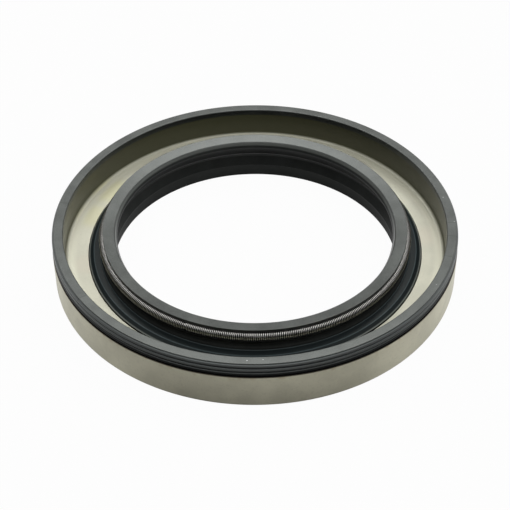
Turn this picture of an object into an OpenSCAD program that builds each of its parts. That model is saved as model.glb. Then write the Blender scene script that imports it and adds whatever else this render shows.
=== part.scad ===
// Oil seal for a turning shaft: a folded sheet-steel case, a ribbed rubber rim moulded over the fold,
// a rubber lip element moulded round the edge of the case's flange, and a garter spring behind the lip.
// The shaft's axis is Z. The oil side is up, and the air side rests at z = 0.
// Every section below is drawn in the (radius, height) plane and turned about the axis.

/* [Fit] */
// Diameter of the shaft that turns in the lip
shaft_d = 70; // [50:1:76]
// Diameter of the housing bore that the steel band is pressed into
housing_d = 100; // [94:1:140]
// Width of the whole seal along the shaft
seal_w = 13; // [12.5:0.25:18]
// How much smaller than the shaft the free lip is, on the diameter
lip_grip_d = 1.9; // [1.4:0.1:2.4]

/* [Steel case] */
// Thickness of the steel sheet
sheet_t = 0.95; // [0.8:0.05:1.05]
// Height of the bare steel band on the outside
band_h = 9.1; // [7.5:0.1:9.4]
// Height of the flange's upper face over the bottom edge of the band
flange_h = 5.25; // [4.6:0.05:5.6]
// Radial room between the shaft and the inner edge of the flange
flange_room = 3.6; // [3.2:0.1:4.2]
// Inner radius of the bend between the flange and the wall
bend_r = 0.9; // [0.4:0.1:1.5]
// Radius of the shoulder at the top of the band
shoulder_r = 0.1; // [0.05:0.05:0.5]
// Radius on the bottom edge of the band
edge_r = 0.7; // [0.2:0.05:0.7]

/* [Ribbed rim] */
// Rubber over the top of the folded sheet
cap_t = 0.6; // [0.45:0.05:1]
// Radius on the rim's inner top edge
rim_edge_r = 0.4; // [0.1:0.05:0.55]
// How far the rim's plain top edge lies inside the housing bore
rim_inset = 0.5; // [0.4:0.02:0.6]
// Height of the plain top edge
rim_edge_h = 0.22; // [0.1:0.02:0.3]
// How far the roots of the ribs lie inside the housing bore
root_inset = 0.66; // [0.62:0.01:0.75]
// Number of sealing ribs round the rim
rib_count = 3; // [2:1:4]
// Radius of a rib's round crest
rib_r = 0.45; // [0.3:0.05:0.5]
// How far the crests of the free ribs lie inside the steel band
rib_inset = 0.17; // [0.05:0.01:0.25]
// Height between the top face and the first rib
rib_top_gap = 0.3; // [0.1:0.05:0.6]
// Height of the undercut between the last rib and the steel shoulder
undercut_h = 0.25; // [0.2:0.05:0.8]
// Thickness of the rubber skin on the steel in the undercut
undercut_skin = 0.15; // [0.1:0.01:0.25]
// Thickness of the rubber film on the flat of the steel shoulder
shoulder_skin = 0.1; // [0.05:0.01:0.15]

/* [Sealing lip] */
// Height of the contact edge over the flange's upper face
lip_h = 4.8; // [4.6:0.05:5.2]
// Width of the contact band on the edge
land_w = 0.2; // [0.1:0.05:0.3]
// Angle of the air-side cone under the contact edge, from the axis
air_angle = 31; // [28:1:33]
// Angle of the oil-side flank over the contact edge, from the axis
oil_angle = 24; // [18:1:32]
// Height of the oil-side flank
flank_h = 1.1; // [0.9:0.05:1.3]
// Width of the bevel between the flank and the head's top face
bevel_w = 0.25; // [0.1:0.05:0.4]
// Radial width of the lip's head, from the contact edge to its outer edge
head_w = 3.51; // [3.3:0.01:3.7]
// Rise of the head's top face towards its outer edge
head_rise = 0.39; // [0:0.01:0.8]
// Thickness of the flexible neck
neck_t = 1.74; // [1.5:0.02:1.9]
// Radius of the hollow between the neck and the pad
hollow_r = 1.1; // [0.9:0.05:1.15]
// Height of the cone's lower end over the flange's upper face
root_h = 1.03; // [0.7:0.01:1.3]

/* [Pad on the flange] */
// Thickness of the pad at its upper edge
pad_t = 0.88; // [0.7:0.02:1.1]
// Rise of the pad from its upper edge to the foot of the neck
pad_rise = 0.22; // [0.1:0.02:0.4]
// How far the pad's upper edge reaches over the flange
pad_lap = 1.52; // [1.2:0.02:2]
// Radial width of the pad's sloping side
pad_slope_w = 1; // [0.6:0.05:1.4]
// Thickness of the thin flash round the pad
flash_t = 0.34; // [0.1:0.02:0.5]
// Radial width of the thin flash
flash_w = 0.4; // [0.2:0.05:0.8]
// How far the rubber reaches under the flange
under_lap = 1.4; // [1:0.1:3]
// Thickness of the rubber under the flange
under_t = 0.6; // [0.4:0.05:0.9]

/* [Dust lips] */
// Radial gap between the dust lip's tip and the shaft
dust_gap = 0.1; // [0:0.05:0.4]
// Depth of the dust lip's tip below the flange's upper face
dust_drop = 1.63; // [1.3:0.05:1.9]
// Thickness of the dust lip's tip
dust_tip_t = 0.22; // [0.1:0.02:0.3]
// Depth of the relief cut under the dust lip
relief_d = 1.1; // [0.6:0.1:1.4]
// Radial gap between the lower guard ring and the shaft
guard_gap = 0.55; // [0.3:0.05:0.8]
// Width of the guard ring's foot
guard_w = 1.2; // [0.8:0.1:1.6]

/* [Garter spring] */
// Outer diameter of the spring's coil
spring_d = 2.2; // [1.8:0.05:2.3]
// Radial distance from the contact edge to the middle of the coil
spring_out = 3.4; // [3.25:0.05:3.6]
// Depth of the coil's middle below the contact edge
spring_drop = 0.2; // [0.1:0.05:0.4]
// Clearance round the coil in its groove
spring_fit = 0.05; // [0.02:0.01:0.1]
// Reach of the groove's lower edge past the middle of the coil
spring_shelf = 0.4; // [0.2:0.05:0.6]

/* [Hidden] */

turn_fn = 180;
round_fn = 48;

// The sheet runs out along the flange, up the wall, over the fold, back down and out to the band,
// so the wall lies three sheets inside the band.
band_r = housing_d / 2;
fold_r = band_r - 2 * sheet_t;
wall_r = band_r - 3 * sheet_t;
neck_r = band_r - sheet_t;
fold_z = seal_w - cap_t - sheet_t;
flange_r = shaft_d / 2 + flange_room;
flange_under = flange_h - sheet_t;
band_under = band_h - sheet_t;

// Heights of the ribs' crests, spread evenly between the undercut and the plain top
rim_r = band_r - rim_inset;
valley_r = band_r - root_inset;
undercut_top = band_h + undercut_h;
rib_foot = 0.05;
low_rib_z = undercut_top + rib_foot + rib_r;
high_rib_z = seal_w - rib_top_gap - rib_r;
rib_pitch = (high_rib_z - low_rib_z) / (rib_count - 1);
rib_mid_r = band_r - rib_inset - rib_r;
rib_root_r = (neck_r + valley_r) / 2;

// The lip's head and cone
lip_r = (shaft_d - lip_grip_d) / 2;
lip_z = flange_h + lip_h;
land_top = lip_z + land_w / 2;
land_foot = lip_z - land_w / 2;
flank_z = land_top + flank_h;
flank_r = lip_r + flank_h * tan(oil_angle);
head_in_r = flank_r + bevel_w;
head_in_z = flank_z + bevel_w;
head_r = lip_r + head_w;
head_z = head_in_z + head_rise;
root_z = flange_h + root_h;
root_r = cone_r(root_z);

// The spring and its groove
spring_r = lip_r + spring_out;
spring_z = lip_z - spring_drop;
groove_r = spring_d / 2 + spring_fit;
shelf_r = spring_r + spring_shelf;

// The hollow stands on the foot of the neck
foot_z = flange_h + pad_t + pad_rise;
hollow_z = foot_z + hollow_r;
hollow_mid_r = cone_r(hollow_z) + neck_t + hollow_r;
shelf_z = hollow_z + sqrt(max(0, hollow_r * hollow_r - pow(hollow_mid_r - shelf_r, 2)));
shelf_dip = 0.05;

// The pad and its flash on the flange
pad_r = flange_r + pad_lap;
slope_r = pad_r + pad_slope_w;
flash_r = slope_r + flash_w;
under_r = flange_r + under_lap;

// The dust lip, its relief and the guard ring below it
step_h = 0.42;
step_w = 0.06;
dust_r = shaft_d / 2 + dust_gap;
dust_z = flange_h - dust_drop;
dust_foot = dust_z - dust_tip_t;
relief_rise = 0.35;
guard_drop = 0.45;
guard_lean = 0.17;
guard_flare = 0.85;
guard_r = shaft_d / 2 + guard_gap;

// Radius of the air-side cone at a height
function cone_r(z) = lip_r + (land_foot - z) * tan(air_angle);

// A quarter of a ring, below and to the right of its middle
module quarter_ring(inner, outer) {
    intersection() {
        difference() {
            circle(r = outer, $fn = round_fn);
            circle(r = inner, $fn = round_fn);
        }
        translate([0, -outer])
            square(outer);
    }
}

// The flange, from the hole for the lip out to the bend
module flange_section() {
    translate([flange_r, flange_under])
        square([wall_r - bend_r - flange_r, sheet_t]);
}

// The doubled sheet under the rubber rim, closed by a round fold
module fold_section() {
    translate([wall_r, band_under])
        square([2 * sheet_t, fold_z - band_under]);
    translate([fold_r, fold_z])
        circle(r = sheet_t, $fn = round_fn);
}

// The bare band outside, with a rounded shoulder and a rounded bottom edge
module band_section() {
    translate([band_r - shoulder_r, band_h - shoulder_r])
        circle(r = shoulder_r, $fn = round_fn);
    translate([fold_r, band_under])
        square([2 * sheet_t - shoulder_r, sheet_t]);
    translate([neck_r, edge_r])
        square([sheet_t, band_h - shoulder_r - edge_r]);
    translate([neck_r, 0])
        square([sheet_t - edge_r, edge_r]);
    intersection() {
        translate([band_r - edge_r, edge_r])
            circle(r = edge_r, $fn = round_fn);
        translate([neck_r, 0])
            square([sheet_t, edge_r]);
    }
}

module steel_case() {
    color("#b9b49f")
        rotate_extrude($fn = turn_fn) {
            flange_section();
            translate([wall_r - bend_r, flange_h + bend_r])
                quarter_ring(bend_r, bend_r + sheet_t);
            translate([wall_r, flange_h + bend_r])
                square([sheet_t, fold_z - flange_h - bend_r]);
            fold_section();
            band_section();
        }
}

// The rim's outline without its ribs and its round inner edge, down to the film on the shoulder
module rim_outline() {
    polygon([
        [wall_r, fold_z],
        [wall_r, seal_w - rim_edge_r],
        [wall_r + rim_edge_r, seal_w - rim_edge_r],
        [wall_r + rim_edge_r, seal_w],
        [rim_r, seal_w],
        [rim_r, seal_w - rim_edge_h],
        [valley_r, seal_w - rim_edge_h],
        [valley_r, undercut_top],
        [neck_r + undercut_skin, undercut_top],
        [neck_r + undercut_skin, band_h + shoulder_skin],
        [band_r - shoulder_r, band_h + shoulder_skin],
        [band_r - shoulder_r, band_h],
        [fold_r, band_h],
        [fold_r, fold_z],
    ]);
}

// The round of the rim's inner top edge
module rim_edge() {
    translate([wall_r + rim_edge_r, seal_w - rim_edge_r])
        rotate(180)
            quarter_ring(0, rim_edge_r);
}

// One rib round the rim, a round bead whose root lies inside the rubber
module rim_rib(z) {
    rotate_extrude($fn = turn_fn)
        intersection() {
            translate([rib_mid_r, z])
                circle(r = rib_r, $fn = round_fn);
            translate([rib_root_r, z - rib_r])
                square(2 * rib_r);
        }
}

module ribbed_rim() {
    color("#3a3c3c")
        union() {
            rotate_extrude($fn = turn_fn)
                difference() {
                    rim_outline();
                    fold_section();
                }
            rotate_extrude($fn = turn_fn)
                rim_edge();
            for (i = [0 : rib_count - 1])
                rim_rib(low_rib_z + i * rib_pitch);
        }
}

// Straight outline of the lip element, from the bevel down the bore and back up the outside
module lip_outline() {
    polygon([
        [head_in_r, head_in_z],
        [flank_r, flank_z],
        [lip_r, land_top],
        [lip_r, land_foot],
        [root_r, root_z],
        [root_r + step_w, root_z - step_h],
        [dust_r, dust_z],
        [dust_r, dust_foot],
        [dust_r + relief_d, dust_foot + relief_rise],
        [guard_r + guard_lean, dust_foot - guard_drop],
        [guard_r, 0],
        [guard_r + guard_w, 0],
        [guard_r + guard_w + guard_flare, flange_under - under_t],
        [under_r - under_t, flange_under - under_t],
        [under_r, flange_under],
        [flash_r, flange_h],
        [slope_r, flange_h + flash_t],
        [pad_r, flange_h + pad_t],
        [hollow_mid_r, foot_z],
        [shelf_r, shelf_z - shelf_dip],
        [shelf_r, spring_z],
        [head_r, spring_z],
        [head_r, head_z],
    ]);
}

module sealing_lip() {
    color("#343636")
        rotate_extrude($fn = turn_fn)
            difference() {
                lip_outline();
                flange_section();
                translate([spring_r, spring_z])
                    circle(r = groove_r, $fn = round_fn);
                translate([hollow_mid_r, hollow_z])
                    circle(r = hollow_r, $fn = round_fn);
            }
}

// The closed ring that the spring's fine close-wound coil fills
module garter_spring() {
    color("#8c8c88")
        rotate_extrude($fn = turn_fn)
            translate([spring_r, spring_z])
                circle(d = spring_d, $fn = round_fn);
}

steel_case();
ribbed_rim();
sealing_lip();
garter_spring();
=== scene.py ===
# %% [markdown]
# # Dressing an oil seal
# An oil seal is a ring that keeps oil on one side of a turning shaft. It has a folded steel case, a ribbed
# rubber rim moulded over the fold, a rubber lip that hugs the shaft, and a thin coil spring that squeezes
# the lip. The solids come ready made as a fixed frame, in metres, with the shaft's axis along Z. This
# lesson gives each solid a finely turned surface and a finish, and then lights the ring as a small product
# on a white table.

# %% Load the frame
import math
import bpy
import numpy as np
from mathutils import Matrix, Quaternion, Vector


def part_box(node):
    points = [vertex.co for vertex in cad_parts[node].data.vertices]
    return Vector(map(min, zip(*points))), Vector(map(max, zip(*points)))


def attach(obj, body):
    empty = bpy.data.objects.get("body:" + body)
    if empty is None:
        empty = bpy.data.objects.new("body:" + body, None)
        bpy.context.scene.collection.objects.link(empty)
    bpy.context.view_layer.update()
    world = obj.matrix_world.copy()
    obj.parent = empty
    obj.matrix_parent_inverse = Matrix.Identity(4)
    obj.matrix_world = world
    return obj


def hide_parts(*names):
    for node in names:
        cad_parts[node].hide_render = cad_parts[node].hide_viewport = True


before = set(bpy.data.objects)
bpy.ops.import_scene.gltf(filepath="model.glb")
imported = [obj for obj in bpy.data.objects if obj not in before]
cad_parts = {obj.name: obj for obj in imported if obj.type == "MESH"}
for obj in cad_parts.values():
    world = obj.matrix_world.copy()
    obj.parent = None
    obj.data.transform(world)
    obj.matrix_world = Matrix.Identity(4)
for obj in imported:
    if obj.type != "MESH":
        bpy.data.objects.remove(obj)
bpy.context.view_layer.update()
scene = bpy.context.scene
print("solids:", sorted(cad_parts))

# %% [markdown]
# ## Sizes
# The frame already knows the large sizes, so they are read from it and not typed again. Everything in this
# script is worked out in millimetres, because the real drawing is, and turned into metres only when a mesh
# is made.

# %% Read the large sizes from the frame
MM = 0.001


def box_mm(node):
    low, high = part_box(node)
    return low / MM, high / MM


case_high = box_mm("steel_case")[1]
rim_low, rim_high = box_mm("ribbed_rim")
lip_high = box_mm("sealing_lip")[1]
spring_low, spring_high = box_mm("garter_spring")

band_r = case_high.x
seal_w = rim_high.z
band_h = rim_low.z
flash_r = lip_high.x
head_z = lip_high.z
coil_r = (spring_high.z - spring_low.z) / 2
spring_z = (spring_high.z + spring_low.z) / 2
spring_r = spring_high.x - coil_r
print(f"seal {2 * band_r:.1f} x {seal_w:.1f} mm, spring ring {2 * spring_r:.1f} mm")

# %% [markdown]
# ## Camera
# The picture looks down on the ring at about 41 degrees through a long lens. A long lens keeps the far
# side of the ring almost as large as the near side, so the ring's ellipses stay close to each other in
# shape. The camera is aimed at a point on the axis, a little above the table, and rolled by a third of a
# degree.

# %% Camera
LENS = 102.27
SENSOR = 36.0
CAMERA_DISTANCE = 364.41
CAMERA_ELEVATION = math.radians(40.992)
CAMERA_ROLL = math.radians(-0.354)
AIM = Vector((-0.031, 0.0, 1.909))

toward_camera = Vector((0, -math.cos(CAMERA_ELEVATION), math.sin(CAMERA_ELEVATION)))
camera = bpy.data.objects.new("camera", bpy.data.cameras.new("camera"))
scene.collection.objects.link(camera)
camera.data.lens = LENS
camera.data.sensor_width = SENSOR
camera.data.clip_start = 0.01
camera.data.clip_end = 20.0
camera.location = (AIM + CAMERA_DISTANCE * toward_camera) * MM
camera.rotation_mode = "QUATERNION"
look = (-toward_camera).to_track_quat("-Z", "Y")
camera.rotation_quaternion = look @ Quaternion((0, 0, 1), CAMERA_ROLL)
scene.camera = camera
print("camera at", [round(v, 4) for v in camera.location])

# %% [markdown]
# ## Turning a section
# Every piece but the spring is a body of revolution. It could be made with the Screw modifier on a curve,
# but a few lines of code give full control of the points. A section is a closed list of corners in the
# plane of radius and height, each with a rounding, because no moulded or pressed edge is truly sharp, and
# a sharp edge catches no light.

# %% Tools for sections
ROUND_STEPS = 5
TURN_STEPS = 540


def corner(before, corner_here, after):
    """Points of a rounded corner, which shares each of its two edges with the rounding at the other end."""
    *here, radius = corner_here
    here = Vector(here)
    back = Vector(before[:2]) - here
    onward = Vector(after[:2]) - here
    half = back.angle(onward) / 2
    back_room = back.length * radius / (radius + before[2])
    onward_room = onward.length * radius / (radius + after[2])
    reach = min(radius / math.tan(half), 0.98 * back_room, 0.98 * onward_room)
    back.normalize()
    onward.normalize()
    middle = here + (back + onward).normalized() * reach / math.cos(half)
    start = here + back * reach - middle
    sweep = -start.angle_signed(here + onward * reach - middle)
    angle = math.atan2(start.y, start.x)
    turn_by = [angle + sweep * k / ROUND_STEPS for k in range(ROUND_STEPS + 1)]
    return [(middle.x + start.length * math.cos(a), middle.y + start.length * math.sin(a)) for a in turn_by]


def arc(mid_r, mid_z, radius, start, end, steps=16):
    """Corners along an arc, from one angle to another in degrees, with no rounding of their own."""
    angles = np.radians(np.linspace(start, end, steps + 1))
    return [(mid_r + radius * math.cos(a), mid_z + radius * math.sin(a), 0) for a in angles]


def rounded(corners):
    """The outline through the corners, each given as radius, height and rounding."""
    outline = []
    for i, here in enumerate(corners):
        if here[2] > 0:
            outline += corner(corners[i - 1], here, corners[(i + 1) % len(corners)])
        else:
            outline.append(here[:2])
    return outline


def mesh_piece(name, points, faces):
    """A smooth mesh object from points in millimetres."""
    mesh = bpy.data.meshes.new(name)
    mesh.from_pydata([Vector(p) * MM for p in points], [], faces)
    mesh.validate()
    mesh.shade_smooth()
    piece = bpy.data.objects.new(name, mesh)
    scene.collection.objects.link(piece)
    return piece


def turn(name, corners):
    """Turns a section about the axis, with normals that keep its flat stretches flat."""
    outline = rounded(corners)
    count = len(outline)
    area = sum(a[0] * b[1] - b[0] * a[1] for a, b in zip(outline, outline[1:] + outline[:1]))
    if area < 0:
        outline.reverse()
    points = []
    faces = []
    for j in range(TURN_STEPS):
        angle = 2 * math.pi * j / TURN_STEPS
        points += [(r * math.cos(angle), r * math.sin(angle), z) for r, z in outline]
        ring, following = j * count, (j + 1) % TURN_STEPS * count
        for i in range(count):
            k = (i + 1) % count
            faces.append((ring + i, following + i, following + k, ring + k))
    piece = mesh_piece(name, points, faces)
    flat = piece.modifiers.new("flat stretches", "WEIGHTED_NORMAL")
    flat.weight = 100
    print(f"{name}: {count} points in the section, {2 * len(faces)} triangles")
    return piece


# %% [markdown]
# ## Steel case
# The case is one strip of sheet steel, pressed round. It runs out from the lip as a flange, bends up into
# a wall, folds back over itself under the rubber rim, and then steps out by one thickness into the bare
# band that is pressed into the housing. Following that strip gives all the radii: the wall lies three
# thicknesses inside the band.

# %% Steel case
sheet_t = 0.95
flange_h = 5.25
flange_r = 38.6
bend_r = 0.9
step_r = 0.25
shoulder_r = 0.1
lead_in_r = 0.7
cut_edge_r = 0.08
fold_cover = 0.6

wall_r = band_r - 3 * sheet_t
fold_r = band_r - 2 * sheet_t
neck_r = band_r - sheet_t
flange_under = flange_h - sheet_t
fold_z = seal_w - fold_cover - sheet_t

case = turn("case_of_folded_steel", [
    (flange_r, flange_under, 0),
    (fold_r, flange_under, bend_r + sheet_t),
    (fold_r, band_h - sheet_t, step_r),
    (neck_r, band_h - sheet_t, step_r),
    (neck_r, 0, cut_edge_r),
    (band_r, 0, lead_in_r),
    (band_r, band_h, shoulder_r),
    (neck_r, band_h, 0),
    *arc(fold_r, fold_z, sheet_t, 0, 180),
    (wall_r, flange_h, bend_r),
    (flange_r, flange_h, 0),
])

# %% [markdown]
# ## Ribbed rim
# The rim is moulded over the fold. Its top is flat, its inner edge is rounded, and three ribs run round
# the outside to be squeezed by the housing. Below the last rib a narrow undercut shows as a black line
# over the steel, and a thin film of rubber runs out on the band's shoulder. The ribs are the same arc each
# time, so a loop lays them down.

# %% Ribbed rim
rim_inset = 0.5
rim_edge_h = 0.22
rim_edge_r = 0.28
rim_outer_edge_r = 0.15
valley_inset = 0.66
rib_count = 3
rib_r = 0.45
rib_top_gap = 0.3
rib_foot = 0.05
rib_steps = 12
undercut_h = 0.25
undercut_skin = 0.15
shoulder_skin = 0.1
film_edge_r = 0.05
mould_edge_r = 0.03

rim_r = band_r - rim_inset
valley_r = band_r - valley_inset
film_r = band_r - shoulder_r
rib_mid_r = rim_high.x - rib_r
high_rib_z = seal_w - rib_top_gap - rib_r
low_rib_z = band_h + undercut_h + rib_foot + rib_r
rib_side = math.degrees(math.acos((valley_r - rib_mid_r) / rib_r))

ribs = []
for z in np.linspace(high_rib_z, low_rib_z, rib_count):
    ribs += arc(rib_mid_r, z, rib_r, rib_side, -rib_side, rib_steps)

rim = turn("rim_of_ribbed_rubber", [
    (wall_r, seal_w, rim_edge_r),
    (rim_r, seal_w, rim_outer_edge_r),
    (rim_r, seal_w - rim_edge_h, mould_edge_r),
    (valley_r, seal_w - rim_edge_h, mould_edge_r),
    *ribs,
    (valley_r, band_h + undercut_h, mould_edge_r),
    (neck_r + undercut_skin, band_h + undercut_h, mould_edge_r),
    (neck_r + undercut_skin, band_h + shoulder_skin, film_edge_r),
    (film_r, band_h + shoulder_skin, film_edge_r),
    (film_r, band_h, 0),
    (neck_r, band_h, 0),
    *arc(fold_r, fold_z, sheet_t, 0, 180),
])

# %% [markdown]
# ## Sealing lip
# The lip element is moulded round the flange's inner edge. From the top: a broad head that ends in the
# contact edge, a round groove for the spring, a thin neck that lets the head flex, a pad on the flange,
# and below it a dust lip and a guard ring. It is the piece that takes the most care, since each of its
# corners shows as a line in the bore.

# %% Sealing lip
shaft_r = 35.0
lip_r, lip_z = 34.05, 10.05
land_w, land_edge_r = 0.2, 0.05
flank_h, flank_angle = 1.1, math.radians(24)
bevel_w = 0.25
head_w, head_edge_r = 3.51, 0.14
groove_gap, groove_steps = 0.05, 24
shelf_w = 0.4
root_r, root_h, root_edge_r = 36.26, 1.03, 0.3
heel_w, heel_h, heel_edge_r = 0.06, 0.42, 0.25
hollow_r, hollow_mid_r = 1.1, 38.4
hollow_start = 262
foot_t = 1.1
ridge_h, ridge_edge_r = 0.07, 0.05
ridge_r, ridge_foot_r, ridge_sink = hollow_mid_r + 0.05, hollow_mid_r + 0.2, 0.02
pad_w, pad_t, pad_edge_r = 1.52, 0.88, 0.2
flash_w, flash_t = 0.4, 0.34
under_w, under_t, under_edge_r = 1.4, 0.6, 0.25
dust_gap, dust_drop, dust_land = 0.1, 1.63, 0.22
dust_back_w, dust_back_h = 1.1, 0.35
guard_gap, guard_w = 0.55, 1.2
guard_lean, guard_drop = 0.17, 0.45
guard_back_w, guard_back_r = 0.85, 0.5
rubber_edge_r, crease_r = 0.1, 0.15

head_r = lip_r + head_w
flank_r = lip_r + flank_h * math.tan(flank_angle)
flank_z = lip_z + land_w / 2 + flank_h
groove_r = coil_r + groove_gap
shelf_r = spring_r + shelf_w
root_z = flange_h + root_h
foot_z = flange_h + foot_t
hollow_z = foot_z + hollow_r
pad_r = flange_r + pad_w
slope_r = flash_r - flash_w
under_r = flange_r + under_w
under_z = flange_under - under_t
dust_r = shaft_r + dust_gap
dust_z = flange_h - dust_drop
dust_foot = dust_z - dust_land
guard_r = shaft_r + guard_gap
groove_top = math.degrees(math.acos((head_r - spring_r) / groove_r))
groove_foot = math.degrees(math.acos((shelf_r - spring_r) / groove_r))
shelf_angle = math.degrees(math.acos((shelf_r - hollow_mid_r) / hollow_r))

lip = turn("lip_of_moulded_rubber", [
    (head_r, head_z, head_edge_r),
    (flank_r + bevel_w, flank_z + bevel_w, rubber_edge_r),
    (flank_r, flank_z, rubber_edge_r),
    (lip_r, lip_z + land_w / 2, land_edge_r),
    (lip_r, lip_z - land_w / 2, land_edge_r),
    (root_r, root_z, root_edge_r),
    (root_r + heel_w, root_z - heel_h, heel_edge_r),
    (dust_r, dust_z, rubber_edge_r),
    (dust_r, dust_foot, rubber_edge_r),
    (dust_r + dust_back_w, dust_foot + dust_back_h, crease_r),
    (guard_r + guard_lean, dust_foot - guard_drop, crease_r),
    (guard_r, 0, rubber_edge_r),
    (guard_r + guard_w, 0, rubber_edge_r),
    (guard_r + guard_w + guard_back_w, under_z, guard_back_r),
    (under_r - under_t, under_z, under_edge_r),
    (under_r, flange_under, 0),
    (flange_r, flange_under, 0),
    (flange_r, flange_h, 0),
    (flash_r, flange_h, 0),
    (slope_r, flange_h + flash_t, rubber_edge_r),
    (pad_r, flange_h + pad_t, pad_edge_r),
    (ridge_foot_r, foot_z - ridge_sink, ridge_edge_r),
    (ridge_r, foot_z + ridge_h, ridge_edge_r),
    *arc(hollow_mid_r, hollow_z, hollow_r, hollow_start, shelf_angle),
    *arc(spring_r, spring_z, groove_r, 360 - groove_foot, groove_top, groove_steps),
])

# %% [markdown]
# ## Garter spring
# The spring is a close-wound coil whose ends are joined into a ring. Its turns are too fine for the solid,
# which is a plain ring of the same outer size, so here the real wire is wound: one point runs round the
# small circle of the coil while the coil runs round the large circle of the ring. At the join, the last
# turns taper into the first ones. The coil sits a little higher than the solid ring, as far as the
# groove's clearance lets it.

# %% Garter spring
wire_r = 0.18
spring_lift = 0.05
coil_turns = 548
STEPS_A_TURN = 14
WIRE_SIDES = 6
JOIN_ANGLE = math.radians(-115)
JOIN_TURNS = 3
JOIN_TAPER = 0.3

steps = coil_turns * STEPS_A_TURN
along = np.arange(steps + 1) / steps
ring_angle = JOIN_ANGLE + 2 * math.pi * along
wind_angle = 2 * math.pi * coil_turns * along
left_to_join = (1 - along) * coil_turns
taper = 1 - JOIN_TAPER * np.clip(1 - left_to_join / JOIN_TURNS, 0, 1)
wind_r = (coil_r - wire_r) * taper

outward = np.stack([np.cos(ring_angle), np.sin(ring_angle), 0 * along], 1)
upward = np.array([0.0, 0.0, 1.0])
spoke = np.cos(wind_angle)[:, None] * outward + np.sin(wind_angle)[:, None] * upward
wire = spring_r * outward + wind_r[:, None] * spoke + np.array([0, 0, spring_z + spring_lift])
run = np.gradient(wire, axis=0)
run /= np.linalg.norm(run, axis=1)[:, None]
across = np.cross(run, spoke)
across /= np.linalg.norm(across, axis=1)[:, None]
spoke = np.cross(across, run)

side = 2 * math.pi * np.arange(WIRE_SIDES) / WIRE_SIDES
around = np.cos(side)[:, None] * spoke[:, None] + np.sin(side)[:, None] * across[:, None]
skin = wire[:, None] + wire_r * around
faces = []
for i in range(steps):
    for j in range(WIRE_SIDES):
        k = (j + 1) % WIRE_SIDES
        a, b = i * WIRE_SIDES, (i + 1) * WIRE_SIDES
        faces.append((a + j, a + k, b + k, b + j))
faces.append(tuple(reversed(range(WIRE_SIDES))))
faces.append(tuple(range(steps * WIRE_SIDES, (steps + 1) * WIRE_SIDES)))
spring = mesh_piece("spring_of_wound_wire", skin.reshape(-1, 3).tolist(), faces)
print(f"spring: {coil_turns} turns, {2 * steps * WIRE_SIDES} triangles")

# %% [markdown]
# ## Tools for finishes
# A finish is a small graph of nodes. Graph keeps it short: it adds a node, sets its inputs and joins what
# feeds it, and it has short ways to map ranges and to blend colours. Finish is a graph in a material,
# whose patterns read the object's own coordinates, in metres, so they stay on the surface from any side.
# Painted images could do the same, but they would need the surfaces unrolled.

# %% Tools for finishes
SPOT_CORE = 0.35


class Graph:
    """A tree of nodes, and short ways to add to it."""

    def __init__(self, tree):
        self.nodes = tree.nodes
        self.links = tree.links

    def add(self, kind, inputs=(), **settings):
        """A new node with its settings, and with each input set or joined, by name or number."""
        node = self.nodes.new("ShaderNode" + kind)
        for key, value in settings.items():
            setattr(node, key, value)
        for key, value in dict(inputs).items():
            self.feed(node.inputs[key], value)
        return node

    def feed(self, socket, value):
        if isinstance(value, bpy.types.NodeSocket):
            self.links.new(value, socket)
        else:
            socket.default_value = value

    def math(self, operation, a, b=0.0, c=0.0):
        return self.add("Math", {0: a, 1: b, 2: c}, operation=operation).outputs[0]

    def noise(self, where, size_mm, detail=3.0):
        """A cloudy pattern whose patches are about this many millimetres across."""
        scale = 1 / (size_mm * MM)
        return self.add("TexNoise", {"Vector": where, "Scale": scale, "Detail": detail}).outputs["Fac"]

    def between(self, value, low, high, to_low=0.0, to_high=1.0):
        """Maps low to high onto another range, softly and with clamped ends."""
        sockets = {"Value": value, "From Min": low, "From Max": high, "To Min": to_low, "To Max": to_high}
        return self.add("MapRange", sockets, interpolation_type="SMOOTHSTEP").outputs["Result"]

    def past(self, value, low_mm, high_mm):
        """0 before the first of two places in millimetres and 1 after the second."""
        return self.between(value, low_mm * MM, high_mm * MM)

    def short_of(self, value, low_mm, high_mm):
        """1 before the first of two places in millimetres and 0 after the second."""
        return self.between(value, low_mm * MM, high_mm * MM, 1.0, 0.0)

    def both(self, *amounts):
        """The product of several amounts, 1 only where all of them are."""
        product = amounts[0]
        for amount in amounts[1:]:
            product = self.math("MULTIPLY", product, amount)
        return product

    def blend(self, amount, first, second):
        """First colour where the amount is 0, second where it is 1."""
        node = self.add("Mix", data_type="RGBA")
        self.feed(node.inputs["Factor"], amount)
        self.feed(node.inputs["A"], first)
        self.feed(node.inputs["B"], second)
        return node.outputs["Result"]


class Finish(Graph):
    """A material with a Principled surface, whose patterns read the object's own coordinates."""

    def __init__(self, name):
        self.material = bpy.data.materials.new(name)
        self.material.use_nodes = True
        super().__init__(self.material.node_tree)
        self.surface = self.nodes["Principled BSDF"]
        self.place = self.add("TexCoord").outputs["Object"]

    def bump(self, height, depth_mm, strength=1.0):
        node = self.add("Bump", {"Height": height, "Distance": depth_mm * MM, "Strength": strength})
        self.links.new(node.outputs["Normal"], self.surface.inputs["Normal"])

    def ring_place(self):
        """Radius, angle and height of the point, for patterns that run round the axis."""
        axes = self.add("SeparateXYZ", {0: self.place}).outputs
        flat = self.add("CombineXYZ", {0: axes[0], 1: axes[1]}).outputs[0]
        radius = self.add("VectorMath", {0: flat}, operation="LENGTH").outputs["Value"]
        angle = self.math("ARCTAN2", axes[1], axes[0])
        return radius, angle, axes[2]

    def near(self, spot_mm, reach_mm):
        """1 near a spot in the frame and 0 beyond its reach."""
        spot = tuple(v * MM for v in spot_mm)
        away = self.add("VectorMath", {0: self.place, 1: spot}, operation="DISTANCE").outputs["Value"]
        return self.short_of(away, SPOT_CORE * reach_mm, reach_mm)


def shade(level, tint=(1.0, 1.0, 1.0)):
    """A linear colour of this level, with a tint."""
    return tuple(level * t for t in tint) + (1.0,)


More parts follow.
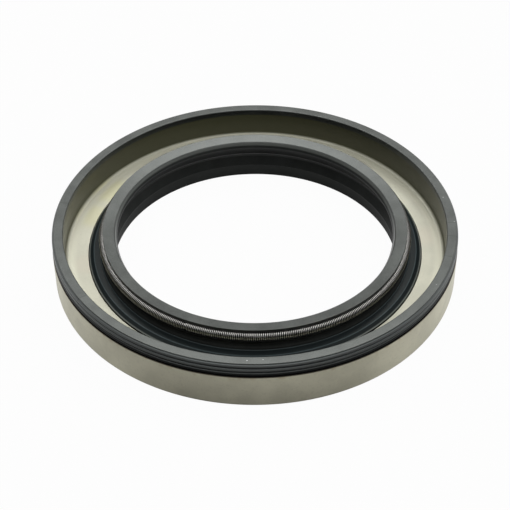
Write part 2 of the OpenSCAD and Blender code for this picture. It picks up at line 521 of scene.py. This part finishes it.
print("finish tools ready")

# %% [markdown]
# ## Rubber
# Moulded nitrile rubber is near black. Faces that look up are painted a slightly paler tone, as painted
# light from above, and carry a soft gloss, while the mouldings stay dark. So the base is dark, a paler
# painted tone lies on the top faces, and clouds vary both the tone and the gloss. Most of the grey that
# shows on them is the gloss, which mirrors the bright room. Each face could be painted by hand, but a rule
# on height and slope follows the shape by itself.

# %% Rubber
RUBBER_DARK = (0.92, 1.0, 0.95)
RUBBER_PALE = (0.93, 1.0, 0.92)
RUBBER_GLOSS = (0.945, 1.0, 0.955)
# Paler painted tone for light from above, on faces that look up
TOP_LIGHT_TONE = 0.042
TOP_LIGHT_FACING = (0.15, 0.7)
TOP_GLOSS = 0.6
TONE_SPREAD = 0.2
GLOSS_SPREAD = 0.12
CLOUD_MM = 4.5
GRAIN_MM = 0.22
CLOUD_SHARE = 0.45
GRAIN_DEPTH_MM = 0.012
RUBBER_ROUGHNESS = (0.28, 0.36)


class Rubber(Finish):
    """Dark rubber painted paler where it looks up, as painted light from above, from the first of two
    heights, fully from the second.
    """

    def __init__(self, name, dark, top_light_z, side_gloss):
        super().__init__(name)
        self.radius, self.angle, self.height = self.ring_place()
        normal = self.add("NewGeometry").outputs["Normal"]
        self.facing = self.add("SeparateXYZ", {0: normal}).outputs[2]
        # Painted light: faces that look up, high enough, take a paler tone
        on_top = self.past(self.height, *top_light_z)
        painted_top_light = self.both(on_top, self.between(self.facing, *TOP_LIGHT_FACING))
        clouds = self.math("MULTIPLY", self.noise(self.place, CLOUD_MM, 6.0), CLOUD_SHARE)
        grain = self.noise(self.place, GRAIN_MM, 2.0)
        tone = self.math("ADD", clouds, self.math("MULTIPLY", grain, 1 - CLOUD_SHARE))
        cloud = self.between(tone, 0.38, 0.62)
        lower, upper = 1 - TONE_SPREAD, 1 + TONE_SPREAD
        dark_tone = self.blend(cloud, shade(lower * dark, RUBBER_DARK), shade(upper * dark, RUBBER_DARK))
        pale_tone = self.blend(cloud, shade(lower * TOP_LIGHT_TONE, RUBBER_PALE), shade(upper * TOP_LIGHT_TONE, RUBBER_PALE))
        gloss_ends = [(1 - GLOSS_SPREAD) * TOP_GLOSS, (1 + GLOSS_SPREAD) * TOP_GLOSS]
        top_gloss = self.between(cloud, 0.0, 1.0, *gloss_ends)
        self.colour = self.blend(painted_top_light, dark_tone, pale_tone)
        self.gloss = self.between(painted_top_light, 0.0, 1.0, side_gloss, top_gloss)
        self.feed(self.surface.inputs["Roughness"], self.between(tone, 0.3, 0.7, *RUBBER_ROUGHNESS))
        self.surface.inputs["Specular Tint"].default_value = shade(1.0, RUBBER_GLOSS)
        self.bump(grain, GRAIN_DEPTH_MM, 0.6)

    def paint(self, amount, colour):
        self.colour = self.blend(amount, self.colour, colour)

    def dull(self, amount, gloss):
        self.gloss = self.between(amount, 0.0, 1.0, self.gloss, gloss)

    def done(self):
        self.feed(self.surface.inputs["Base Color"], self.colour)
        self.feed(self.surface.inputs["Specular IOR Level"], self.gloss)
        print("rubber finish:", self.material.name)
        return self.material


# %% [markdown]
# ## Marks on the rim
# A rim that has been handled has a few specks of dust on its top and short scuffs across it. The ribs'
# upper halves are painted a little bluer and paler, as a painted highlight, and painted shade darkens their
# undersides and the undercut, which reads as a black line. Specks are small spots at set places, and
# scuffs are thin rays at set angles, where an image would have to be painted.

# %% Rim rubber
RIM_DARK = 0.012
RIM_SIDE_GLOSS = 1.0
RIB_BLUE = (0.88, 1.0, 1.03)
RIB_HIGHLIGHT_TONE = 0.045
RIB_HIGHLIGHT_FACING = (0.15, 0.55)
UNDERSIDE_FACING = (-0.4, 0.0)
RIB_SHADE_TONE = 0.006
RIB_SHADE_GLOSS = 0.1
SHADE_OVER_BAND = (0.85, 1.3)
DUST_TONE = 0.6
DUST = [
    (-1.95, -48.34, 0.16),
    (1.6, -48.06, 0.12),
    (47.3, 8.92, 0.16),
    (49.1, -0.65, 0.13),
    (42.4, -23.7, 0.11),
]
SCUFFS = [-1.2, -7.2, -16.4, 171.0, 214.0]
SCUFF_WIDTH = 0.0035
SCUFF_GLOSS = 0.4 * TOP_GLOSS

rim_finish = Rubber("rim_rubber_matte", RIM_DARK, (seal_w - 0.5, seal_w - 0.2), RIM_SIDE_GLOSS)
# Painted highlight: the ribs' upper halves, below the top, are painted paler and bluer
below_top = rim_finish.short_of(rim_finish.height, seal_w - 0.2, seal_w - 0.1)
rib_top_highlight = rim_finish.both(below_top, rim_finish.between(rim_finish.facing, *RIB_HIGHLIGHT_FACING))
rim_finish.paint(rib_top_highlight, shade(RIB_HIGHLIGHT_TONE, RIB_BLUE))
# Painted shade: the ribs' undersides and the undercut over the band are painted near black and dull
underside = rim_finish.between(rim_finish.facing, *UNDERSIDE_FACING, 1.0, 0.0)
undercut = rim_finish.short_of(rim_finish.height, *[band_h + rise for rise in SHADE_OVER_BAND])
for in_shade in (underside, undercut):
    rim_finish.paint(in_shade, shade(RIB_SHADE_TONE))
    rim_finish.dull(in_shade, RIB_SHADE_GLOSS)
for x, y, reach_mm in DUST:
    rim_finish.paint(rim_finish.near((x, y, seal_w), reach_mm), shade(DUST_TONE))
for degrees in SCUFFS:
    turned = math.radians((degrees + 180) % 360 - 180)
    off = rim_finish.math("ABSOLUTE", rim_finish.math("SUBTRACT", rim_finish.angle, turned))
    rim_finish.dull(rim_finish.between(off, 0.0, SCUFF_WIDTH, 1.0, 0.0), SCUFF_GLOSS)
rim_rubber = rim_finish.done()

# %% [markdown]
# ## Lip rubber
# The pad on the flange is painted darker and bluer than the rest, as painted shade and a painted sheen. Its
# edge and a low ridge are painted as thin lighter lines, painted highlights, the slope outside is painted
# dark, as painted shade, and at the end the rubber thins out into a greyish flash on the steel. The lip's
# flank is shiny and painted paler, a painted highlight, the hollow under the spring is dull, and deep in the
# bore a pale line just above the cone's root is a painted highlight.

# %% Lip rubber
LIP_DARK = 0.0135
LIP_SIDE_GLOSS = 0.2
FLANK_HIGHLIGHT_TONE = 0.07
FLANK_FACING = (0.25, 0.38)
HEAD_FACING = (0.45, 0.6)
PAD_SHEEN_BLUE = (0.7, 1.0, 1.08)
PAD_SHADE_TONE = 0.012
PAD_EDGE_HIGHLIGHT = 0.045
RIDGE_HIGHLIGHT = 0.06
SLOPE_SHADE_TONE = 0.012
FLASH_TONE = 0.3
PAD_FACING = (0.35, 0.65)
PAD_GLOSS = 0.16
SLOPE_GLOSS = 0.09
HOLLOW_GLOSS = 0.06
ROOT_HIGHLIGHT_TONE = 0.14
root_highlight_z = root_z + 0.4
bore_side_r = root_r + 0.64

lip_finish = Rubber("lip_rubber_matte", LIP_DARK, (flank_z - 0.8, flank_z - 0.2), LIP_SIDE_GLOSS)
lip_radius, lip_height, lip_facing = lip_finish.radius, lip_finish.height, lip_finish.facing

# Painted highlight: the upper flank is painted paler and made fully glossy
not_flat = lip_finish.between(lip_facing, *HEAD_FACING, 1.0, 0.0)
not_steep = lip_finish.between(lip_facing, *FLANK_FACING)
flank = lip_finish.both(not_flat, not_steep, lip_finish.past(lip_height, flank_z - 0.8, flank_z - 0.3))
lip_finish.paint(flank, shade(FLANK_HIGHLIGHT_TONE, RUBBER_PALE))
lip_finish.dull(flank, 1.0)

# Painted shade and sheen: the pad is painted darker and bluer, with painted highlights on its edge and ridge
# and painted shade on the slope
low = lip_finish.short_of(lip_height, foot_z + 0.3, foot_z + 0.8)
outer = lip_finish.past(lip_radius, hollow_mid_r - 0.1, hollow_mid_r + 0.05)
pad = lip_finish.both(low, outer, lip_finish.between(lip_facing, *PAD_FACING))
slope = lip_finish.past(lip_radius, pad_r, pad_r + 0.15)
pad_tones = [
    (lip_finish.past(lip_radius, pad_r - 0.25, pad_r - 0.1), PAD_EDGE_HIGHLIGHT, PAD_SHEEN_BLUE),
    (lip_finish.past(lip_height, foot_z, foot_z + ridge_h), RIDGE_HIGHLIGHT, PAD_SHEEN_BLUE),
    (slope, SLOPE_SHADE_TONE, PAD_SHEEN_BLUE),
    (lip_finish.past(lip_radius, pad_r + 0.7, flash_r - 0.1), FLASH_TONE, RUBBER_PALE),
]
pad_tone = shade(PAD_SHADE_TONE, PAD_SHEEN_BLUE)
for where, level, tint in pad_tones:
    pad_tone = lip_finish.blend(where, pad_tone, shade(level, tint))
lip_finish.paint(pad, pad_tone)
lip_finish.dull(pad, PAD_GLOSS)
lip_finish.dull(lip_finish.both(pad, slope), SLOPE_GLOSS)

hollow_low = lip_finish.short_of(lip_height, foot_z + 0.8, foot_z + 1.6)
hollow_from = lip_finish.past(lip_radius, bore_side_r, bore_side_r + 0.2)
hollow_to = lip_finish.short_of(lip_radius, hollow_mid_r - 0.1, hollow_mid_r + 0.05)
lip_finish.dull(lip_finish.both(hollow_low, hollow_from, hollow_to), HOLLOW_GLOSS)

# Painted highlight: a pale line in the bore just above the cone's root
in_bore = lip_finish.short_of(lip_radius, bore_side_r - 0.2, bore_side_r)
from_line = lip_finish.math("ABSOLUTE", lip_finish.math("SUBTRACT", lip_height, root_highlight_z * MM))
root_highlight = lip_finish.both(in_bore, lip_finish.short_of(from_line, 0.08, 0.35))
lip_finish.paint(root_highlight, shade(ROOT_HIGHLIGHT_TONE))
lip_rubber = lip_finish.done()

# %% [markdown]
# ## Case steel
# The sheet is taken to be satin steel under a thin pale film that keeps rust away, so it is part matte and
# part metal. Faint yellow stains lie on the flange and brown ones along the band's top edge, with a dark
# line of painted shade along that edge under the rubber. The wall is painted dark olive, as painted shade
# for the dark wall and what it mirrors, from low on the bend upwards. The flange is even in tone up to the
# wall, but the light here falls off there, so its colour is raised towards the wall to make up for it. Noise
# along the turning direction gives fine streaks.

# %% Case steel
STEEL_FLANGE = (1.0, 0.985, 0.79)
STEEL_BAND = (1.0, 0.965, 0.75)
WALL_SHADE_TINT = (1.0, 1.0, 0.5)
STAIN_YELLOW = (1.0, 0.96, 0.55)
STAIN_PINK = (1.0, 0.92, 0.74)
STAIN_BROWN = (1.0, 0.82, 0.52)
FLANGE_TONES = (0.485, 0.445)
BAND_TONES = (0.6, 0.53)
WALL_SIDE_TONE = 0.595
SPECKLE_TONE = 0.36
STAIN_TONE = 0.48
RUST_TONE = 0.4
SHADE_LINE_TONE = 0.08
WALL_SHADE_TONE = 0.052
STEEL_CLOUD_MM = 7.0
SPECKLE_MM = 0.6
RUST_MM = 1.6
FLANGE_METAL = 0.3
BAND_METAL = 0.6
SATIN_ROUGHNESS = (0.4, 0.48)
WALL_SHADE_ROUGHNESS = 0.3
STREAK_MM = 0.35
STREAK_DEPTH_MM = 0.004
STREAK_STRETCH = 1.5 * MM
STAINS = [
    (-37.7, 22.2, 7.0, 0.6, STAIN_YELLOW),
    (-41.6, 12.0, 6.0, 0.5, STAIN_YELLOW),
    (-41.5, -7.0, 5.0, 0.5, STAIN_PINK),
    (42.9, 3.2, 5.0, 0.5, STAIN_PINK),
]

case_finish = Finish("case_steel_satin")
radius, angle, height = case_finish.ring_place()
outside = case_finish.past(radius, neck_r - 0.4, neck_r)
clouds = case_finish.between(case_finish.noise(case_finish.place, STEEL_CLOUD_MM, 6.0), 0.35, 0.65)
speckle = case_finish.between(case_finish.noise(case_finish.place, SPECKLE_MM, 5.0), 0.5, 0.75, 0.0, 0.25)
bare_tones = [case_finish.blend(outside, shade(flange, STEEL_FLANGE), shade(band, STEEL_BAND))
              for flange, band in zip(FLANGE_TONES, BAND_TONES)]
steel_tone = case_finish.blend(clouds, *bare_tones)
steel_tone = case_finish.blend(speckle, steel_tone, shade(SPECKLE_TONE, STEEL_BAND))

for x, y, reach_mm, amount, tint in STAINS:
    stain = case_finish.math("MULTIPLY", case_finish.near((x, y, flange_h), reach_mm), amount)
    steel_tone = case_finish.blend(stain, steel_tone, shade(STAIN_TONE, tint))
near_wall = case_finish.past(radius, wall_r - 3.2, wall_r - 1.3)
short_of_bend = case_finish.short_of(radius, wall_r - 0.9, wall_r - 0.6)
shaded_by_wall = case_finish.both(near_wall, short_of_bend)
steel_tone = case_finish.blend(shaded_by_wall, steel_tone, shade(WALL_SIDE_TONE, STEEL_FLANGE))

patches = case_finish.between(case_finish.noise(case_finish.place, RUST_MM, 4.0), 0.5, 0.68, 0.0, 0.6)
rusty = case_finish.both(outside, case_finish.past(height, band_h - 1.4, band_h - 0.1), patches)
steel_tone = case_finish.blend(rusty, steel_tone, shade(RUST_TONE, STAIN_BROWN))
# Painted shade: a dark line along the band's top edge, under the rubber
painted_shade_line = case_finish.both(outside, case_finish.past(height, band_h - 0.18, band_h - 0.04))
steel_tone = case_finish.blend(painted_shade_line, steel_tone, shade(SHADE_LINE_TONE, STAIN_BROWN))

# Painted shade: the inner wall is painted dark olive and not metal, from low on the bend upwards
inside = case_finish.short_of(radius, fold_r - 0.2, fold_r - 0.1)
painted_wall_shade = case_finish.both(inside, case_finish.past(height, flange_h, flange_h + 0.7))
streak_run = case_finish.math("MULTIPLY", angle, STREAK_STRETCH)
streak_place = case_finish.add("CombineXYZ", {0: radius, 1: streak_run, 2: height}).outputs[0]
streaks = case_finish.noise(streak_place, STREAK_MM, 3.0)
satin = case_finish.between(streaks, 0.3, 0.7, *SATIN_ROUGHNESS)
bare_metal = case_finish.between(outside, 0.0, 1.0, FLANGE_METAL, BAND_METAL)
case_inputs = case_finish.surface.inputs
case_finish.feed(case_inputs["Base Color"], case_finish.blend(painted_wall_shade, steel_tone, shade(WALL_SHADE_TONE, WALL_SHADE_TINT)))
case_finish.feed(case_inputs["Metallic"], case_finish.between(painted_wall_shade, 0.0, 1.0, bare_metal, 0.0))
case_finish.feed(case_inputs["Roughness"], case_finish.between(painted_wall_shade, 0.0, 1.0, satin, WALL_SHADE_ROUGHNESS))
case_finish.bump(streaks, STREAK_DEPTH_MM, 0.5)
print("case finish:", case_finish.material.name)

# %% [markdown]
# ## Spring wire
# Drawn spring wire is bright, and it is painted near black between the turns, as painted shade. The same
# winding rule as above tells the finish where the wire's crest is, so the painted dark gaps follow the turns
# exactly, even where they are too fine to see. Dark gaps could also be left to the lamps alone, but then the
# turns run together from a step away.

# %% Spring wire
WIRE = (1.0, 0.98, 0.93)
WIRE_BRIGHT = (0.95, 0.8)
WIRE_GAP_SHADE = 0.02
WIRE_ROUGHNESS = (0.29, 0.33)
CREST = (0.4, 1.0)
OIL_MM = 1.5

wire_finish = Finish("spring_wire_bright")
wire_radius, wire_angle, wire_height = wire_finish.ring_place()
rise = wire_finish.math("SUBTRACT", wire_height, (spring_z + spring_lift) * MM)
reach = wire_finish.math("SUBTRACT", wire_radius, spring_r * MM)
wound = wire_finish.math("MULTIPLY", wire_finish.math("SUBTRACT", wire_angle, JOIN_ANGLE), coil_turns)
off_crest = wire_finish.math("SUBTRACT", wound, wire_finish.math("ARCTAN2", rise, reach))
crest = wire_finish.between(wire_finish.math("COSINE", off_crest), *CREST)
oil = wire_finish.noise(wire_finish.place, OIL_MM, 2.0)
wire_tones = [shade(level, WIRE) for level in WIRE_BRIGHT]
bright_wire = wire_finish.blend(wire_finish.between(oil, 0.35, 0.65), *wire_tones)
wire_inputs = wire_finish.surface.inputs
# Painted shade: the wire is painted near black away from each turn's crest
wire_finish.feed(wire_inputs["Base Color"], wire_finish.blend(crest, shade(WIRE_GAP_SHADE, WIRE), bright_wire))
wire_finish.feed(wire_inputs["Roughness"], wire_finish.between(oil, 0.3, 0.7, *WIRE_ROUGHNESS))
wire_inputs["Metallic"].default_value = 1.0
print("wire finish:", wire_finish.material.name)

# %% [markdown]
# ## Dressing the frame
# Each turned piece stands for its solid, rides on the one body of the seal, and takes its finish.

# %% Dress the frame
dressing = [
    (case, "steel_case", "case_steel", case_finish.material),
    (rim, "ribbed_rim", "rim_rubber", rim_rubber),
    (lip, "sealing_lip", "lip_rubber", lip_rubber),
    (spring, "garter_spring", "spring_steel", wire_finish.material),
]
for piece, node, slot, material in dressing:
    piece.data.materials.append(material)
    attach(piece, "root")
    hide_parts(node)
print("dressed:", [node for _, node, _, _ in dressing])

# %% [markdown]
# ## Table
# The picture is a plain product shot on white. The table shows as white to the camera by a glow, so that
# the light can stay at a level that suits the object, and it is matte for the light that it throws back.
# In reflections its glow is painted: white behind, dimmer towards the camera, and dimmest under the ring
# and in a painted shadow right in front of it, which the band mirrors at its foot. A white sheet in a real
# studio does the same by itself, but it would need far more light.

# %% Table
TABLE_R = 1500
TABLE_SIDES = 96
TABLE_TONE = 0.38
GLOW_TO_CAMERA = 0.97
GLOW_IN_FRONT = 0.48
GLOW_IN_SHADOW = 0.25
GLOW_BEHIND = 1.0
GLOW_UNDER = 0.4

table_angles = np.linspace(0, 2 * math.pi, TABLE_SIDES, endpoint=False)
table_edge = [(TABLE_R * math.cos(a), TABLE_R * math.sin(a), 0) for a in table_angles]
table = mesh_piece("table", table_edge, [tuple(range(TABLE_SIDES))])

table_look = Finish("table_white")
table_look.nodes.remove(table_look.surface)
seen = table_look.add("LightPath").outputs
mirrored = table_look.math("MAXIMUM", seen["Is Glossy Ray"], seen["Is Transmission Ray"])
depth = table_look.add("SeparateXYZ", {0: table_look.place}).outputs[1]
from_axis = table_look.ring_place()[0]
front_to_back = table_look.between(depth, -55 * MM, -5 * MM, GLOW_IN_FRONT, GLOW_BEHIND)
under_bore = table_look.between(from_axis, 28 * MM, 35 * MM, 1.0, GLOW_UNDER)
clear_of_ring = table_look.between(from_axis, 47 * MM, 52 * MM, GLOW_UNDER, 1.0)
under_ring = table_look.math("MAXIMUM", under_bore, clear_of_ring)
# Painted shadow: the glow seen in reflections is dimmed in front of the ring and under it
shaded = table_look.both(table_look.short_of(depth, -52, -36), table_look.short_of(from_axis, 49, 62))
shadow = table_look.between(shaded, 0.0, 1.0, 1.0, GLOW_IN_SHADOW)
strength = table_look.between(mirrored, 0.0, 1.0, 1.0, table_look.both(front_to_back, under_ring, shadow))
to_camera = table_look.math("MULTIPLY", seen["Is Camera Ray"], GLOW_TO_CAMERA)
glow = table_look.math("MAXIMUM", to_camera, mirrored)
matte = table_look.add("BsdfDiffuse", {"Color": shade(TABLE_TONE)})
white = table_look.add("Emission", {"Color": shade(1.0), "Strength": strength})
table_mix = table_look.add("MixShader", {0: glow, 1: matte.outputs[0], 2: white.outputs[0]})
table_look.links.new(table_mix.outputs[0], table_look.nodes["Material Output"].inputs["Surface"])
table.data.materials.append(table_look.material)
print("table:", TABLE_R, "mm in radius")

# %% [markdown]
# ## Room
# Matte faces are lit by a soft dome that is brightest above and a little to the right. Glossy faces mirror
# a plain studio: a white ceiling and backdrop, a dimmer room behind the camera, and a bright halo round
# the lamp. All of it depends on the direction alone. Cards and soft boxes could be built instead, but the
# values here are easier to change.

# %% World
DOME_LOW = 0.05
DOME_HIGH = 1.75
DOME_WAY = Vector((0.38, 0.12, 0.9)).normalized()
BEHIND_CAMERA = 0.2
BACKDROP = 0.8
CEILING = 1.7
HALO = 4.5
HALO_EDGE = 0.94
LAMP_ELEVATION = math.radians(59)
LAMP_WAY = Vector((0, math.cos(LAMP_ELEVATION), math.sin(LAMP_ELEVATION)))

world = bpy.data.worlds.new("white_studio")
scene.world = world
world.use_nodes = True
room = Graph(world.node_tree)
direction = room.add("TexCoord").outputs["Generated"]
way = room.add("SeparateXYZ", {0: direction}).outputs
walls = room.between(way[1], -0.55, 0.25, BEHIND_CAMERA, BACKDROP)
ceiling = room.between(way[2], 0.5, 1.0, 0.0, CEILING)
to_lamp = room.add("VectorMath", {0: direction, 1: LAMP_WAY}, operation="DOT_PRODUCT").outputs["Value"]
halo = room.between(to_lamp, HALO_EDGE, 1.0, 0.0, HALO)
studio = room.math("ADD", room.math("MAXIMUM", walls, ceiling), halo)
to_dome = room.add("VectorMath", {0: direction, 1: DOME_WAY}, operation="DOT_PRODUCT").outputs["Value"]
dome = room.between(to_dome, 0.0, 1.0, DOME_LOW, DOME_HIGH)
ray = room.add("LightPath").outputs
in_mirror = room.math("MAXIMUM", ray["Is Glossy Ray"], ray["Is Transmission Ray"])
on_object = room.between(in_mirror, 0.0, 1.0, dome, studio)
backdrop_look = room.nodes["Background"].inputs
room.feed(backdrop_look["Strength"], room.between(ray["Is Camera Ray"], 0.0, 1.0, on_object, 1.0))
backdrop_look["Color"].default_value = shade(1.0)
world.cycles.sampling_method = "NONE"
print("room: dome up to", DOME_HIGH, "and halo of", HALO)

# %% [markdown]
# ## Lamp
# One weak soft box hangs behind the ring, above the backdrop. It gives the shadow that falls towards the
# camera.

# %% Lamp
LAMP_DISTANCE = 0.7
LAMP_WIDTH = 0.5
LAMP_DEPTH = 0.2
LAMP_RADIANCE = 1.5

lamp = bpy.data.lights.new("back_softbox", "AREA")
lamp.shape = "RECTANGLE"
lamp.size = LAMP_WIDTH
lamp.size_y = LAMP_DEPTH
lamp.energy = LAMP_RADIANCE * math.pi * LAMP_WIDTH * LAMP_DEPTH
softbox = bpy.data.objects.new("back_softbox", lamp)
scene.collection.objects.link(softbox)
softbox.location = LAMP_WAY * LAMP_DISTANCE
softbox.rotation_euler = LAMP_WAY.to_track_quat("Z", "Y").to_euler()
print(f"back softbox: {lamp.energy:.1f} W, {LAMP_WIDTH} x {LAMP_DEPTH} m")

# %% [markdown]
# ## Last lines
# The view settings stay plain so that colours come out as written.

# %% Finish
scene.view_settings.view_transform = "Standard"
